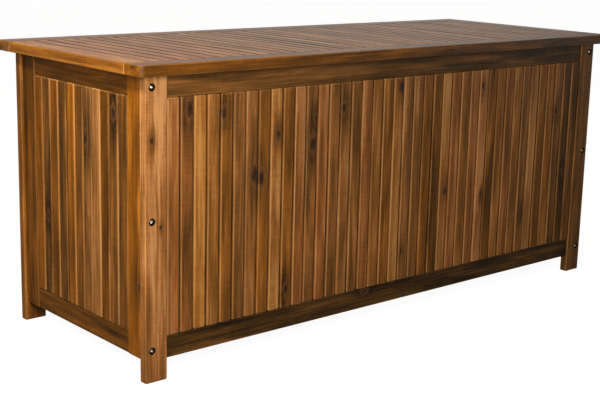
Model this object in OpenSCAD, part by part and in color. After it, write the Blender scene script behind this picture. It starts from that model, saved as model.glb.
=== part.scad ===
// Slatted hardwood deck storage box with a hinged lid.
// Frame: +Z up, origin on the ground under the middle of the box, front towards -Y, millimetres.

/* [Body] */
// Width of the body over the outer faces of the legs
body_w = 1230; // [1160:10:1300]
// Depth of the body over the faces of the legs
body_d = 450; // [430:10:500]
// Height of the legs, up to the underside of the lid
body_h = 540; // [500:10:600]
// Ground clearance under the bottom rails
foot_h = 38; // [30:1:60]

/* [Lid] */
// Overhang of the lid beyond the legs at each end
lid_overhang_x = 25; // [20:1:35]
// Overhang of the lid beyond the legs at the front and the rear
lid_overhang_y = 25; // [24:1:28]
// Thickness of the lid boards
lid_t = 20; // [18:1:24]
// Number of slats across the lid
lid_slat_count = 40; // [30:1:42]
// Furthest opening angle, just before the lid's rear edge meets the legs
lid_open_max = 98; // [90:1:98]

/* [Boards] */
// Width of the legs, stiles and lid rails
board_w = 45; // [40:1:50]
// Thickness of the legs and stiles
leg_t = 18; // [16:1:20]
// Thickness of the rails
rail_t = 16; // [15:1:18]
// Visible height of the rails
rail_h = 41; // [35:1:50]
// Thickness of the wall slats
slat_t = 10; // [9:1:11]
// Gap between neighbouring slats
slat_gap = 3; // [2:0.5:4]
// Number of slats in the front wall and in the rear wall
long_slat_count = 40; // [30:1:42]
// Number of slats in each end wall
end_slat_count = 11; // [9:1:12]

/* [Hardware] */
// Diameter of the frame bolts
bolt_d = 6; // [5:1:6]
// Diameter of the domed bolt heads
bolt_head_d = 10.5; // [9.5:0.5:11]
// Diameter of the counterbores that the bolt heads sit in
counterbore_d = 13; // [12:0.5:14]
// Length of the frame bolts under the head
bolt_len = 35; // [35:1:38]
// Diameter of the hinge pins
hinge_pin_d = 3; // [2.5:0.5:4]
// Length of each hinge along its pin
hinge_len = 70; // [60:1:90]

/* [Hidden] */
$fn = 48;

// Half sizes and main planes of the body
half_w = body_w / 2;
half_d = body_d / 2;
leg_inner_x = half_w - board_w;        // side of the legs that faces the long walls
leg_inner_y = half_d - leg_t;          // back of the leg boards, where the end walls butt
end_face_x = half_w - 5;               // outer face of the end walls, set in from the legs
end_inner_x = end_face_x - leg_t;      // inner face of the end walls
rail_face_y = half_d - 4;              // outer face of the long rails, set in from the legs
rail_inner_y = rail_face_y - rail_t;   // inner face of the long walls

stile_inner_y = leg_inner_y - board_w; // edge of the stiles that faces the end slats

// Rails and slats of the walls
rebate_d = 8;                          // depth of the rebate that the slats sit in
rebate_h = 20;                         // height of the rebate
slat_proud = slat_t - rebate_d;        // how far the slats stand out of the rails
slat_low_z = foot_h + rail_h;          // lower ends of the slats
slat_top_z = body_h - rail_h;          // upper ends of the slats
batten_t = rail_t - rebate_d;          // thickness of the middle battens
batten_h = 40;                         // height of the middle battens
batten_z = (slat_low_z + slat_top_z) / 2 - batten_h / 2;
tenon_t = 7;                           // thickness of the rail tenons
tenon_h = 30;                          // height of the rail tenons
tenon_len = 20;                        // length of the rail tenons

// Frame bolts: three in the face of each leg, into the edges of the end walls
bolt_x = end_face_x - leg_t / 2;
bolt_heights = [body_h - rail_h / 2, (body_h + foot_h) / 2, foot_h + rail_h / 2];
counterbore_depth = 5;
bolt_rim_h = 1;                        // straight rim of a bolt head
bolt_dome_h = 2.4;                     // dome of a bolt head above its rim
bolt_socket_d = 4.6;                   // across the corners of the key socket
bolt_socket_depth = 2;
bolt_hole_depth = counterbore_depth + bolt_len + 2;
hole_gap = 0.05;                       // radial gap around a fastener in its hole
insert_d = 10;                         // outer diameter of an insert nut
insert_len = 13;                       // length of an insert nut

// Floor
bearer_w = 25;                         // width of a floor bearer, front to rear
bearer_h = 25;                         // height of a floor bearer
bearer_z = foot_h + 7;
floor_t = 12;                          // thickness of the floor boards
floor_board_count = 12;
floor_board_gap = 8;
floor_margin = 1;                      // gap between the floor and the walls
floor_pitch = (2 * end_inner_x - 2 * floor_margin + floor_board_gap) / floor_board_count;

floor_board_w = floor_pitch - floor_board_gap;
bearer_mid_y = rail_inner_y - bearer_w / 2;
bearer_screw_len = 35;
bearer_screw_z = bearer_z + bearer_h / 2;
bearer_dowel_len = 28;
bearer_dowel_depth = 10;               // how far those dowels go into the end rails
floor_screw_len = 30;

// Screws
screw_d = 4;                           // shank diameter of a wood screw
screw_head_d = 8;                      // head diameter of a wood screw
screw_tip = 3;                         // length of the pointed end

// Lid
lid_z = body_h;
lid_half_w = half_w + lid_overhang_x;
lid_half_d = half_d + lid_overhang_y;
lid_rail_w = 50;                       // visible width of the lid rails
lid_corner_r = 8;                      // rounding of the lid's corners
lid_slat_t = 12;                       // thickness of the lid slats
ledge_w = 12;                          // ledge of the lid rails that carries the slat ends
slat_end_y = lid_half_d - lid_rail_w;  // ends of the lid slats
lid_slat_z = lid_z + lid_t - lid_slat_t;
lid_open_x = lid_half_w - lid_rail_w;  // inner edges of the lid's end rails
lid_slat_pitch = 2 * lid_open_x / lid_slat_count;
lid_batten_w = 45;
lid_batten_inset = 10;                 // from the lid's end rails to the ends of the battens
lid_batten_t = 14;
lid_batten_y = 95;                     // distance of the lid battens from the middle
lid_screw_step = 3;                    // every so many slats a batten screw
lid_screw_len = 22;
dowel_d = 8;
dowel_len = 40;
dowel_pitch = 24;                      // spacing of the two dowels in a lid corner

// Hinges: pin axis behind the rear wall, just under the lid
knuckle_r = 3.5;
leaf_t = 2;
hinge_pin_y = half_d + 0.2;
hinge_pin_z = lid_z - knuckle_r - 0.3;
hinge_xs = [-400, 0, 400];             // places of the three hinges along the rear wall
body_leaf_h = 30;                      // leaf width down the rear rail
lid_leaf_w = 23;                       // leaf width under the lid's overhang
knuckle_count = 5;
knuckle_len = hinge_len / knuckle_count;
knuckle_gap = 0.4;                     // gap between neighbouring knuckles
pin_gap = 0.05;                        // radial running gap of the pin in the lid's knuckles
leaf_screw_xs = [-24, 0, 24];          // screws across a leaf
leaf_screw_len = 12;
leaf_screw_d = 3;
leaf_screw_head_d = 6;
lid_leaf_screw_y = hinge_pin_y + 15;
body_leaf_screw_z = hinge_pin_z - 18;

// The lid's rear lower edge meets the legs' rear faces at this angle
overhang_reach = lid_half_d - hinge_pin_y;
overhang_rise = lid_z - hinge_pin_z;
stop_angle = atan2(overhang_rise, overhang_reach)
    + acos((half_d - hinge_pin_y) / norm([overhang_reach, overhang_rise]));
assert(lid_open_max < stop_angle, "the lid would strike the legs before lid_open_max");

wood = "peru";
dark_wood = "sienna";
pale_wood = "burlywood";
bronze = "dimgray";
brassy = "darkgoldenrod";

// A box from its low corner to its high corner
module block(low, high) {
    translate(low) cube(high - low);
}

// ---------------------------------------------------------------- fasteners
// A countersunk screw along +Z with the top of its head at the origin, pointing down -Z.
// grow widens it all round, to cut its hole.
module screw(len, d = screw_d, head_d = screw_head_d, grow = 0) {
    head_h = (head_d - d) / 2;
    top_z = grow > 0 ? 1 : 0;
    rotate_extrude() polygon([
        [0, top_z],
        [head_d / 2 + grow, top_z],
        [head_d / 2 + grow, 0],
        [d / 2 + grow, -head_h],
        [d / 2 + grow, -len + screw_tip],
        [0, -len - grow]]);
}

// A dowel that stands on the origin along +Z. grow widens it, to cut its hole.
module dowel(len, grow = 0) {
    cylinder(h = len, d = dowel_d + 2 * grow);
}

// A domed frame bolt along +Z with the underside of its head at the origin, shank down -Z
module bolt() {
    head_r = bolt_head_d / 2;
    dome = [for (a = [0 : 15 : 90]) [head_r * cos(a), bolt_rim_h + bolt_dome_h * sin(a)]];
    difference() {
        rotate_extrude() polygon(concat(
            [[0, -bolt_len], [bolt_d / 2, -bolt_len], [bolt_d / 2, 0], [head_r, 0]], dome));
        translate([0, 0, bolt_rim_h + bolt_dome_h - bolt_socket_depth])
            cylinder(h = bolt_socket_depth + 1, d = bolt_socket_d, $fn = 6);
    }
}

// Places children at each bolt of one leg, with +Z pointing out of the leg's face.
// side is -1 for left and 1 for right; face is -1 for front and 1 for rear.
module at_bolts(side, face) {
    for (z = bolt_heights)
        translate([side * bolt_x, face * half_d, z]) rotate([-face * 90, 0, 0]) children();
}

// The same places in all four legs
module at_all_bolts() {
    for (side = [-1, 1], face = [-1, 1]) at_bolts(side, face) children();
}

module frame_bolts() {
    color("silver") at_all_bolts() translate([0, 0, -counterbore_depth]) bolt();
}

// Threaded inserts in the edges of the stiles
module insert_nuts() {
    color(brassy) at_all_bolts() translate([0, 0, -leg_t - insert_len]) difference() {
        cylinder(h = insert_len, d = insert_d);
        translate([0, 0, -1]) cylinder(h = insert_len + 2, d = bolt_d + 2 * hole_gap);
    }
}

// ---------------------------------------------------------------- legs
// The tenon of a long rail at one end, z_mid its middle height
module long_rail_tenon(side, z_mid) {
    y_mid = -(rail_face_y + leg_inner_y) / 2;
    inner = side * (leg_inner_x - 1);
    outer = side * (leg_inner_x + tenon_len);
    block([min(inner, outer), y_mid - tenon_t / 2, z_mid - tenon_h / 2],
        [max(inner, outer), y_mid + tenon_t / 2, z_mid + tenon_h / 2]);
}

// One leg board at the front; side is -1 for left and 1 for right
module front_leg(side) {
    x_low = side < 0 ? -half_w : leg_inner_x;
    color(wood) difference() {
        block([x_low, -half_d, 0], [x_low + board_w, -leg_inner_y, body_h]);
        at_bolts(side, -1) {
            translate([0, 0, -leg_t - 1]) cylinder(h = leg_t + 2, d = bolt_d + 2 * hole_gap);
            translate([0, 0, -counterbore_depth])
                cylinder(h = counterbore_depth + 1, d = counterbore_d);
        }
        for (z_mid = [bolt_heights[0], bolt_heights[2]]) long_rail_tenon(side, z_mid);
    }
}

module leg_front_left() { front_leg(-1); }
module leg_front_right() { front_leg(1); }
module leg_rear_left() { mirror([0, 1, 0]) front_leg(-1); }
module leg_rear_right() { mirror([0, 1, 0]) front_leg(1); }

// ---------------------------------------------------------------- long walls
// The front wall's rail; top is true for the upper rail. The rebate takes the slat ends.
module long_rail(top) {
    low_z = top ? slat_top_z : foot_h;
    z_mid = low_z + rail_h / 2;
    tongue_z = top ? slat_top_z - rebate_h : slat_low_z;
    color(dark_wood) union() {
        block([-leg_inner_x, -rail_face_y, low_z], [leg_inner_x, -rail_inner_y, low_z + rail_h]);
        block([-leg_inner_x, -rail_inner_y - batten_t, tongue_z - (top ? 0 : 1)],
            [leg_inner_x, -rail_inner_y, tongue_z + rebate_h + (top ? 1 : 0)]);
        for (side = [-1, 1]) long_rail_tenon(side, z_mid);
    }
}

module long_batten() {
    color(dark_wood) block([-leg_inner_x, -rail_inner_y - batten_t, batten_z],
        [leg_inner_x, -rail_inner_y, batten_z + batten_h]);
}

// A row of upright slats, standing in the -Y face, over a given width
module slat_row(width, count, low_y) {
    pitch = width / count;
    color(wood) for (i = [0 : count - 1])
        translate([-width / 2 + i * pitch + slat_gap / 2, low_y, slat_low_z])
            cube([pitch - slat_gap, slat_t, slat_top_z - slat_low_z]);
}

module long_slats() {
    slat_row(2 * leg_inner_x, long_slat_count, -rail_face_y - slat_proud);
}

module front_top_rail() { long_rail(true); }
module front_bottom_rail() {
    color(dark_wood) difference() {
        long_rail(false);
        at_long_bearer_screws() screw(bearer_screw_len, grow = hole_gap);
    }
}
module front_middle_batten() { long_batten(); }
module front_slats() { long_slats(); }
module rear_top_rail() {
    color(dark_wood) difference() {
        mirror([0, 1, 0]) long_rail(true);
        at_body_leaf_screws() screw(leaf_screw_len, leaf_screw_d, leaf_screw_head_d, hole_gap);
    }
}
module rear_bottom_rail() { mirror([0, 1, 0]) front_bottom_rail(); }
module rear_middle_batten() { mirror([0, 1, 0]) long_batten(); }
module rear_slats() { mirror([0, 1, 0]) long_slats(); }

// ---------------------------------------------------------------- end walls
// An end wall is drawn at the left end; the right one is its mirror image.

// A stub tenon of an end rail in a stile
module end_rail_tenon(face, z_mid) {
    x_mid = -(end_inner_x + rail_t / 2);
    inner = face * (stile_inner_y - 1);
    outer = face * (stile_inner_y + tenon_len);
    block([x_mid - tenon_t / 2, min(inner, outer), z_mid - tenon_h / 2],
        [x_mid + tenon_t / 2, max(inner, outer), z_mid + tenon_h / 2]);
}

module end_stile(face) {
    low_y = face < 0 ? -leg_inner_y : stile_inner_y;
    color(wood) difference() {
        block([-end_face_x, low_y, foot_h], [-end_inner_x, low_y + board_w, body_h]);
        at_bolts(-1, face) {
            translate([0, 0, -bolt_hole_depth])
                cylinder(h = bolt_hole_depth, d = bolt_d + 2 * hole_gap);
            translate([0, 0, -leg_t - insert_len])
                cylinder(h = insert_len + 1, d = insert_d + 2 * hole_gap);
        }
        for (z_mid = [bolt_heights[0], bolt_heights[2]]) end_rail_tenon(face, z_mid);
    }
}

module end_rail(top) {
    low_z = top ? slat_top_z : foot_h;
    z_mid = low_z + rail_h / 2;
    tongue_z = top ? slat_top_z - rebate_h : slat_low_z;
    color(dark_wood) difference() {
        union() {
            block([-end_inner_x - rail_t, -stile_inner_y, low_z],
                [-end_inner_x, stile_inner_y, low_z + rail_h]);
            block([-end_inner_x - batten_t, -stile_inner_y, tongue_z - (top ? 0 : 1)],
                [-end_inner_x, stile_inner_y, tongue_z + rebate_h + (top ? 1 : 0)]);
            for (face = [-1, 1]) end_rail_tenon(face, z_mid);
        }
        if (!top) at_bearer_dowels(-1) dowel(bearer_dowel_len, hole_gap);
    }
}

module end_batten() {
    color(dark_wood) block([-end_inner_x - batten_t, -stile_inner_y, batten_z],
        [-end_inner_x, stile_inner_y, batten_z + batten_h]);
}

module end_slats() {
    rotate([0, 0, -90])
        slat_row(2 * stile_inner_y, end_slat_count, -end_inner_x - batten_t - slat_t);
}

module left_front_stile() { end_stile(-1); }
module left_rear_stile() { end_stile(1); }
module left_top_rail() { end_rail(true); }
module left_bottom_rail() { end_rail(false); }
module left_middle_batten() { end_batten(); }
module left_slats() { end_slats(); }
module right_front_stile() { mirror([1, 0, 0]) end_stile(-1); }
module right_rear_stile() { mirror([1, 0, 0]) end_stile(1); }
module right_top_rail() { mirror([1, 0, 0]) end_rail(true); }
module right_bottom_rail() { mirror([1, 0, 0]) end_rail(false); }
module right_middle_batten() { mirror([1, 0, 0]) end_batten(); }
module right_slats() { mirror([1, 0, 0]) end_slats(); }

// ---------------------------------------------------------------- floor
// Screws through the front bearer into the front bottom rail, driven from inside
module at_long_bearer_screws() {
    for (i = [-2 : 2])
        translate([2 * i * floor_pitch, -rail_inner_y + bearer_w, bearer_screw_z])
            rotate([-90, 0, 0]) children();
}

// Blind dowels between an end rail and the end of the middle bearer, +Z pointing outwards
module at_bearer_dowels(side) {
    for (y = [-6, 6])
        translate([side * (end_inner_x + bearer_dowel_depth - bearer_dowel_len), y, bearer_screw_z])
            rotate([0, side * 90, 0]) children();
}

// Screws down through the floor boards into the front and the rear bearer
module at_floor_screws() {
    for (i = [0 : floor_board_count - 1], face = [-1, 1])
        translate([floor_board_x(i) + floor_board_w / 2, face * bearer_mid_y,
            bearer_z + bearer_h + floor_t]) children();
}

function floor_board_x(i) = -end_inner_x + floor_margin + i * floor_pitch;
module floor_bearer_front() {
    color(dark_wood) difference() {
        block([-end_inner_x, -rail_inner_y, bearer_z],
            [end_inner_x, -rail_inner_y + bearer_w, bearer_z + bearer_h]);
        at_long_bearer_screws() screw(bearer_screw_len, grow = hole_gap);
        at_floor_screws() screw(floor_screw_len, grow = hole_gap);
    }
}

module floor_bearer_middle() {
    color(dark_wood) difference() {
        block([-end_inner_x, -bearer_w / 2, bearer_z],
            [end_inner_x, bearer_w / 2, bearer_z + bearer_h]);
        for (side = [-1, 1]) at_bearer_dowels(side) dowel(bearer_dowel_len, hole_gap);
    }
}

module floor_bearer_rear() { mirror([0, 1, 0]) floor_bearer_front(); }

module floor_boards() {
    color(pale_wood) difference() {
        for (i = [0 : floor_board_count - 1])
            translate([floor_board_x(i), -rail_inner_y + floor_margin, bearer_z + bearer_h])
                cube([floor_board_w, 2 * rail_inner_y - 2 * floor_margin, floor_t]);
        at_floor_screws() screw(floor_screw_len, grow = hole_gap);
    }
}

module floor_screws() {
    color(bronze) at_floor_screws() screw(floor_screw_len);
}

module bearer_screws() {
    color(bronze) {
        at_long_bearer_screws() screw(bearer_screw_len);
        mirror([0, 1, 0]) at_long_bearer_screws() screw(bearer_screw_len);
    }
}

module bearer_dowels() {
    color(pale_wood) for (side = [-1, 1]) at_bearer_dowels(side) dowel(bearer_dowel_len);
}

// ---------------------------------------------------------------- hinges
// Places children at the screws of the body leaves, +Z pointing out of the rear wall
module at_body_leaf_screws() {
    for (x = hinge_xs, dx = leaf_screw_xs)
        translate([x + dx, rail_face_y + leaf_t, body_leaf_screw_z])
            rotate([-90, 0, 0]) children();
}

// Places children at the screws of the lid leaves, +Z pointing down out of the lid
module at_lid_leaf_screws() {
    for (x = hinge_xs, dx = leaf_screw_xs)
        translate([x + dx, lid_leaf_screw_y, lid_z - leaf_t]) rotate([180, 0, 0]) children();
}

// The knuckles of one leaf about the pin axis: the body leaf has the even ones, the lid the odd
module knuckles(first, x, bore_gap) {
    for (i = [first : 2 : knuckle_count - 1])
        translate([x - hinge_len / 2 + i * knuckle_len + knuckle_gap / 2,
            hinge_pin_y, hinge_pin_z]) rotate([0, 90, 0]) difference() {
            cylinder(h = knuckle_len - knuckle_gap, r = knuckle_r);
            translate([0, 0, -1])
                cylinder(h = knuckle_len + 2, d = hinge_pin_d + 2 * bore_gap);
        }
}

// The strip of a leaf between its knuckles is cut back so that the other leaf's can turn
module knuckle_clearance(first, x) {
    for (i = [first : 2 : knuckle_count - 1])
        translate([x - hinge_len / 2 + i * knuckle_len - knuckle_gap / 2,
            hinge_pin_y, hinge_pin_z]) rotate([0, 90, 0])
            cylinder(h = knuckle_len + knuckle_gap, r = knuckle_r + knuckle_gap);
}

// The pin hole cut through a leaf's flat, where the flat runs under the pin
module pin_hole(x, bore_gap) {
    translate([x - hinge_len / 2 - 1, hinge_pin_y, hinge_pin_z]) rotate([0, 90, 0])
        cylinder(h = hinge_len + 2, d = hinge_pin_d + 2 * bore_gap);
}

module hinge_body_leaf(x) {
    color(bronze) difference() {
        union() {
            block([x - hinge_len / 2 + knuckle_gap / 2, rail_face_y, hinge_pin_z - body_leaf_h],
                [x + hinge_len / 2 - knuckle_gap / 2, rail_face_y + leaf_t, hinge_pin_z]);
            knuckles(0, x, 0);
        }
        knuckle_clearance(1, x);
        pin_hole(x, 0);
        at_body_leaf_screws() screw(leaf_screw_len, leaf_screw_d, leaf_screw_head_d, hole_gap);
    }
}

module hinge_lid_leaf(x) {
    color(bronze) difference() {
        union() {
            block([x - hinge_len / 2 + knuckle_gap / 2, hinge_pin_y, lid_z - leaf_t],
                [x + hinge_len / 2 - knuckle_gap / 2, hinge_pin_y + lid_leaf_w, lid_z]);
            knuckles(1, x, pin_gap);
        }
        knuckle_clearance(0, x);
        pin_hole(x, pin_gap);
        at_lid_leaf_screws() screw(leaf_screw_len, leaf_screw_d, leaf_screw_head_d, hole_gap);
    }
}

module hinge_pin(x) {
    color(brassy) translate([x - hinge_len / 2, hinge_pin_y, hinge_pin_z])
        rotate([0, 90, 0]) cylinder(h = hinge_len, d = hinge_pin_d);
}

module hinge_body_leaf_left() { hinge_body_leaf(hinge_xs[0]); }
module hinge_body_leaf_middle() { hinge_body_leaf(hinge_xs[1]); }
module hinge_body_leaf_right() { hinge_body_leaf(hinge_xs[2]); }
module hinge_pin_left() { hinge_pin(hinge_xs[0]); }
module hinge_pin_middle() { hinge_pin(hinge_xs[1]); }
module hinge_pin_right() { hinge_pin(hinge_xs[2]); }
module hinge_body_screws() {
    color(brassy) at_body_leaf_screws() screw(leaf_screw_len, leaf_screw_d, leaf_screw_head_d);
}
module hinge_lid_leaf_left() { hinge_lid_leaf(hinge_xs[0]); }
module hinge_lid_leaf_middle() { hinge_lid_leaf(hinge_xs[1]); }
module hinge_lid_leaf_right() { hinge_lid_leaf(hinge_xs[2]); }
module hinge_lid_screws() {
    color(brassy) at_lid_leaf_screws() screw(leaf_screw_len, leaf_screw_d, leaf_screw_head_d);
}

// ---------------------------------------------------------------- lid
// Dowels between the ends of the lid's end rails and its long rails
module at_lid_dowels(face) {
    for (side = [-1, 1], dx = [-dowel_pitch / 2, dowel_pitch / 2])
        translate([side * (lid_half_w - lid_rail_w / 2) + dx,
            face * slat_end_y - dowel_len / 2, lid_z + lid_t / 2])
            rotate([-90, 0, 0]) children();
}

// A long rail of the lid, drawn at the front: outer corners rounded, ledge under the slats
module lid_long_rail() {
    low_y = -lid_half_d;
    color(wood) difference() {
        union() {
            translate([0, 0, lid_z]) linear_extrude(lid_t) difference() {
                translate([-lid_half_w, low_y]) square([2 * lid_half_w, lid_rail_w]);
                for (side = [-1, 1]) lid_corner_waste(side);
            }
            block([-lid_open_x, low_y + lid_rail_w - 1, lid_z],
                [lid_open_x, low_y + lid_rail_w + ledge_w, lid_slat_z]);
        }
        at_lid_dowels(-1) dowel(dowel_len, hole_gap);
    }
}

// What the rounding takes off one outer corner of the lid
module lid_corner_waste(side) {
    corner = [side * (lid_half_w - lid_corner_r), -lid_half_d + lid_corner_r];
    difference() {
        translate([side < 0 ? -lid_half_w - 1 : corner.x, -lid_half_d - 1])
            square(lid_corner_r + 1);
        translate(corner) circle(r = lid_corner_r);
    }
}

module lid_end_rail(side) {
    x_low = side < 0 ? -lid_half_w : lid_open_x;
    color(wood) difference() {
        block([x_low, -slat_end_y, lid_z], [x_low + lid_rail_w, slat_end_y, lid_z + lid_t]);
        for (face = [-1, 1]) at_lid_dowels(face) dowel(dowel_len, hole_gap);
    }
}

// Screws up through a lid batten into every third slat
module at_lid_batten_screws(face) {
    for (i = [0 : lid_screw_step : lid_slat_count - 1])
        translate([-lid_open_x + (i + 0.5) * lid_slat_pitch, face * lid_batten_y,
            lid_slat_z - lid_batten_t]) rotate([180, 0, 0]) children();
}

module lid_batten(face) {
    mid_y = face * lid_batten_y;
    color(dark_wood) difference() {
        block([-lid_open_x + lid_batten_inset, mid_y - lid_batten_w / 2, lid_slat_z - lid_batten_t],
            [lid_open_x - lid_batten_inset, mid_y + lid_batten_w / 2, lid_slat_z]);
        at_lid_batten_screws(face) screw(lid_screw_len, grow = hole_gap);
    }
}

module lid_slats() {
    slat_w = lid_slat_pitch - slat_gap;
    color(pale_wood) difference() {
        for (i = [0 : lid_slat_count - 1])
            translate([-lid_open_x + i * lid_slat_pitch + slat_gap / 2, -slat_end_y, lid_slat_z])
                cube([slat_w, 2 * slat_end_y, lid_slat_t]);
        for (face = [-1, 1]) at_lid_batten_screws(face) screw(lid_screw_len, grow = hole_gap);
    }
}

module lid_front_rail() { lid_long_rail(); }
module lid_rear_rail() {
    color(wood) difference() {
        mirror([0, 1, 0]) lid_long_rail();
        at_lid_leaf_screws() screw(leaf_screw_len, leaf_screw_d, leaf_screw_head_d, hole_gap);
    }
}
module lid_left_rail() { lid_end_rail(-1); }
module lid_right_rail() { lid_end_rail(1); }
module lid_front_batten() { lid_batten(-1); }
module lid_rear_batten() { lid_batten(1); }
module lid_batten_screws() {
    color(bronze) for (face = [-1, 1]) at_lid_batten_screws(face) screw(lid_screw_len);
}
module lid_dowels() {
    color(pale_wood) for (face = [-1, 1]) at_lid_dowels(face) dowel(dowel_len);
}

leg_front_left();
leg_front_right();
leg_rear_left();
leg_rear_right();
front_top_rail();
front_bottom_rail();
front_middle_batten();
front_slats();
rear_top_rail();
rear_bottom_rail();
rear_middle_batten();
rear_slats();
left_front_stile();
left_rear_stile();
left_top_rail();
left_bottom_rail();
left_middle_batten();
left_slats();
right_front_stile();
right_rear_stile();
right_top_rail();
right_bottom_rail();
right_middle_batten();
right_slats();
floor_bearer_front();
floor_bearer_middle();
floor_bearer_rear();
floor_boards();
frame_bolts();
insert_nuts();
bearer_screws();
bearer_dowels();
floor_screws();
hinge_body_leaf_left();
hinge_body_leaf_middle();
hinge_body_leaf_right();
hinge_pin_left();
hinge_pin_middle();
hinge_pin_right();
hinge_body_screws();
lid_front_rail();
lid_rear_rail();
lid_left_rail();
lid_right_rail();
lid_slats();
lid_front_batten();
lid_rear_batten();
lid_batten_screws();
lid_dowels();
hinge_lid_leaf_left();
hinge_lid_leaf_middle();
hinge_lid_leaf_right();
hinge_lid_screws();
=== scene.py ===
import math
import random

import bpy
from mathutils import Matrix, Vector


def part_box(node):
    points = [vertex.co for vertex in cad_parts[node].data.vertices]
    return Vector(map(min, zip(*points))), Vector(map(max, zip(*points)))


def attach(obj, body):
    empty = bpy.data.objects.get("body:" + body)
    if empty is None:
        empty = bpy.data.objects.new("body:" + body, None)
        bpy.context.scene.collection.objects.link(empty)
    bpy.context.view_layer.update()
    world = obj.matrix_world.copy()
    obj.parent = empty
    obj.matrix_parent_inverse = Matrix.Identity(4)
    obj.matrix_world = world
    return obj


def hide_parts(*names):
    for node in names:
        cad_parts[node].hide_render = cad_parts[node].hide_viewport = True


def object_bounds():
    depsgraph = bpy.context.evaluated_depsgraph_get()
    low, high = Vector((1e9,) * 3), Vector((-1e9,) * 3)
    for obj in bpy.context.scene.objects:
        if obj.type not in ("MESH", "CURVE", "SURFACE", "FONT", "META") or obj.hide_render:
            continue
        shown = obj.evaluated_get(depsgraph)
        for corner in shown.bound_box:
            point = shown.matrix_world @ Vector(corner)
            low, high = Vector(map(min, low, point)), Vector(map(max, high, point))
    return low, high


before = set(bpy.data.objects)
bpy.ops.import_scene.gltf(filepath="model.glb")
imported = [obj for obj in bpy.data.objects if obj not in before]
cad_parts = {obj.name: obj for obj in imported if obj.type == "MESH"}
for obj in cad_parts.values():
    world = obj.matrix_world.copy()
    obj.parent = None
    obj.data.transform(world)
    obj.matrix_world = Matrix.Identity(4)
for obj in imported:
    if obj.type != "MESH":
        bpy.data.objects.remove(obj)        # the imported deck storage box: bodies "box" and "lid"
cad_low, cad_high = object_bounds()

MM = 0.001
X, Y, Z = 0, 1, 2
OTHER_AXES = {X: (Y, Z), Y: (Z, X), Z: (X, Y)}   # the outline's two axes for a board drawn along a third

# ------------------------------------------------------------------ outlines and lofts
ARC_STEPS = 3          # segments in a rounded edge
BOLT_TURN = 48         # segments in the circle of a bolt or a hinge part
SCREW_TURN = 24        # segments in the circle of a screw, an insert nut or a dowel


def rectangle(low, high, axis):
    """The corners of a box's cross-section, anticlockwise as seen against its axis."""
    u, v = OTHER_AXES[axis]
    return [(low[u], low[v]), (high[u], low[v]), (high[u], high[v]), (low[u], high[v])]


def eased_outline(corners, radii):
    """Rounds the outward corners of a right-angled outline. Each point is (centre, radius, direction),
    so that the outline can also be drawn inset."""
    points = []
    for i, corner in enumerate(corners):
        here = Vector(corner)
        before = (here - Vector(corners[i - 1])).normalized()
        after = (Vector(corners[(i + 1) % len(corners)]) - here).normalized()
        inward = Vector((-before.y - after.y, before.x + after.x))
        if before.x * after.y - before.y * after.x < 0:
            points.append((here, 0.0, -inward))
            continue
        for k in range(ARC_STEPS + 1):
            t = math.pi / 2 * k / ARC_STEPS
            out_of_before, out_of_after = Vector((before.y, -before.x)), Vector((after.y, -after.x))
            outward = out_of_before * math.cos(t) + out_of_after * math.sin(t)
            points.append((here + inward * radii[i], radii[i], outward))
    return points


def loft(corners, radii, start, end, axis, ease):
    """A closed board: an eased outline drawn along an axis, with its two ends eased too."""
    outline = eased_outline(corners, radii)
    u, v = OTHER_AXES[axis]
    near = [(ease * (1 - math.cos(t)), ease * (1 - math.sin(t)))
            for t in (math.pi / 2 * k / ARC_STEPS for k in range(ARC_STEPS + 1))]
    stations = [(start + s, inset) for s, inset in near]
    stations += [(end - s, inset) for s, inset in reversed(near)]
    verts = []
    for station, inset in stations:
        for centre, radius, direction in outline:
            flat = centre + direction * (radius - inset)
            point = [0.0, 0.0, 0.0]
            point[u], point[v], point[axis] = flat.x, flat.y, station
            verts.append(tuple(point))
    count, faces = len(outline), []
    for row in range(len(stations) - 1):
        for i in range(count):
            a, b = row * count + i, row * count + (i + 1) % count
            faces.append((a, b, b + count, a + count))
    faces.append(tuple(reversed(range(count))))
    faces.append(tuple(range(len(verts) - count, len(verts))))
    return verts, faces


def turned(profile, matrix, steps=BOLT_TURN):
    """A closed shape turned about its own +Z from (radius, height) points, where a radius may be a
    function of the angle, put in place by a matrix."""
    verts, rings = [], []
    for radius, height in profile:
        if radius == 0:
            rings.append([len(verts)])
            verts.append(tuple(matrix @ Vector((0, 0, height))))
            continue
        rings.append(list(range(len(verts), len(verts) + steps)))
        for k in range(steps):
            angle = 2 * math.pi * k / steps
            r = radius(angle) if callable(radius) else radius
            verts.append(tuple(matrix @ Vector((r * math.cos(angle), r * math.sin(angle), height))))
    faces = []
    for low, high in zip(rings, rings[1:]):
        for k in range(steps):
            a, b = k, (k + 1) % steps
            if len(low) == 1:
                faces.append((low[0], high[b], high[a]))
            elif len(high) == 1:
                faces.append((low[a], low[b], high[0]))
            else:
                faces.append((low[a], low[b], high[b], high[a]))
    if len(rings[0]) > 1 and len(rings[-1]) > 1:          # a tube: its last ring joins its first
        for k in range(steps):
            a, b = k, (k + 1) % steps
            faces.append((rings[-1][a], rings[-1][b], rings[0][b], rings[0][a]))
    return verts, faces


def facing(direction, at):
    """The matrix that stands a turned shape at a point, its +Z along a direction."""
    return Matrix.Translation(at) @ Vector(direction).to_track_quat("Z", "Y").to_matrix().to_4x4()


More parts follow.
